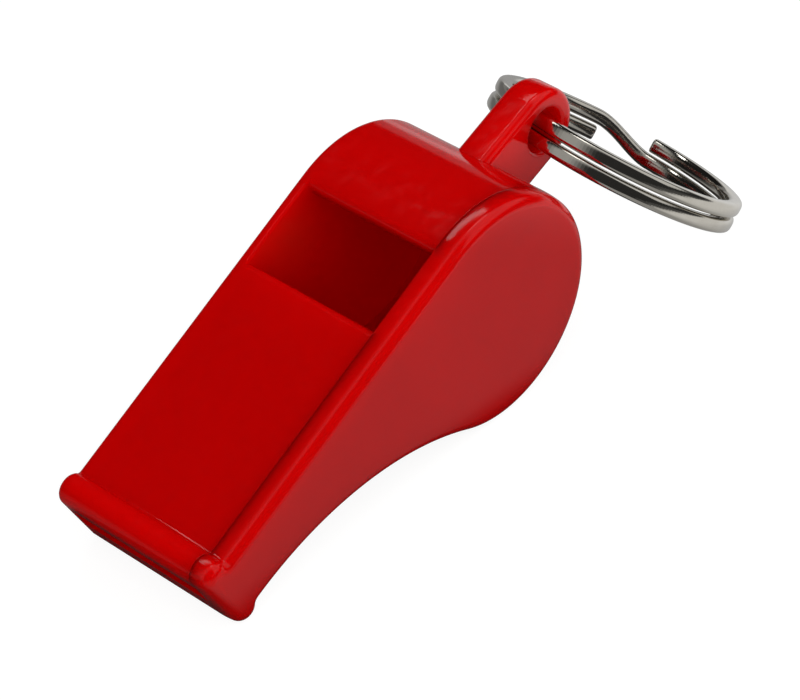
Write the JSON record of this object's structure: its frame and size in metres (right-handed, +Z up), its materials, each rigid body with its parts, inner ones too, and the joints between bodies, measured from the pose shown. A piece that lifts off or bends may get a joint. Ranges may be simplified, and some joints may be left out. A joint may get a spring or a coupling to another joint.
{
  "type": "whistle keyring",
  "caption": "Moulded plastic pea whistle with a flat tapering mouthpiece, a round drum and a rear lug, hanging on a split ring of flat metal wire.",
  "frame": {"origin": "middle of the bounding box, on the ground that the whistle lies on", "axes": "+X from the mouth end towards the lug and the ring, level; +Z up; the side with the welded cover faces -Y. The whistle lies on its belly, on the lower roll and the drum."},
  "size_m": [0.0724, 0.0258, 0.0233],
  "materials": {
    "red_plastic": "glossy moulded polystyrene, solid red",
    "cover_plastic": "glossy moulded polystyrene, solid red, seen a little lighter on its flat side",
    "cork": "pressed cork, matt",
    "nickel": "nickel-plated steel, bright"
  },
  "bodies": {
    "whistle": {"whistle_body": "red_plastic", "side_cover": "cover_plastic"},
    "ball": {"ball": "cork"},
    "ring": {"split_ring": "nickel"}
  },
  "joints": [
    {"name": "ball_roll", "type": "hinge", "parent": "whistle", "child": "ball", "pos_m": [0.00155, 0.00208, 0.0116], "axis": [0, 1, 0], "continuous": true},
    {"name": "ring_swing", "type": "hinge", "parent": "whistle", "child": "ring", "pos_m": [0.0168, 0.00228, 0.01936], "axis": [0, 1, 0], "range_deg": [-193, 69]}
  ]
}
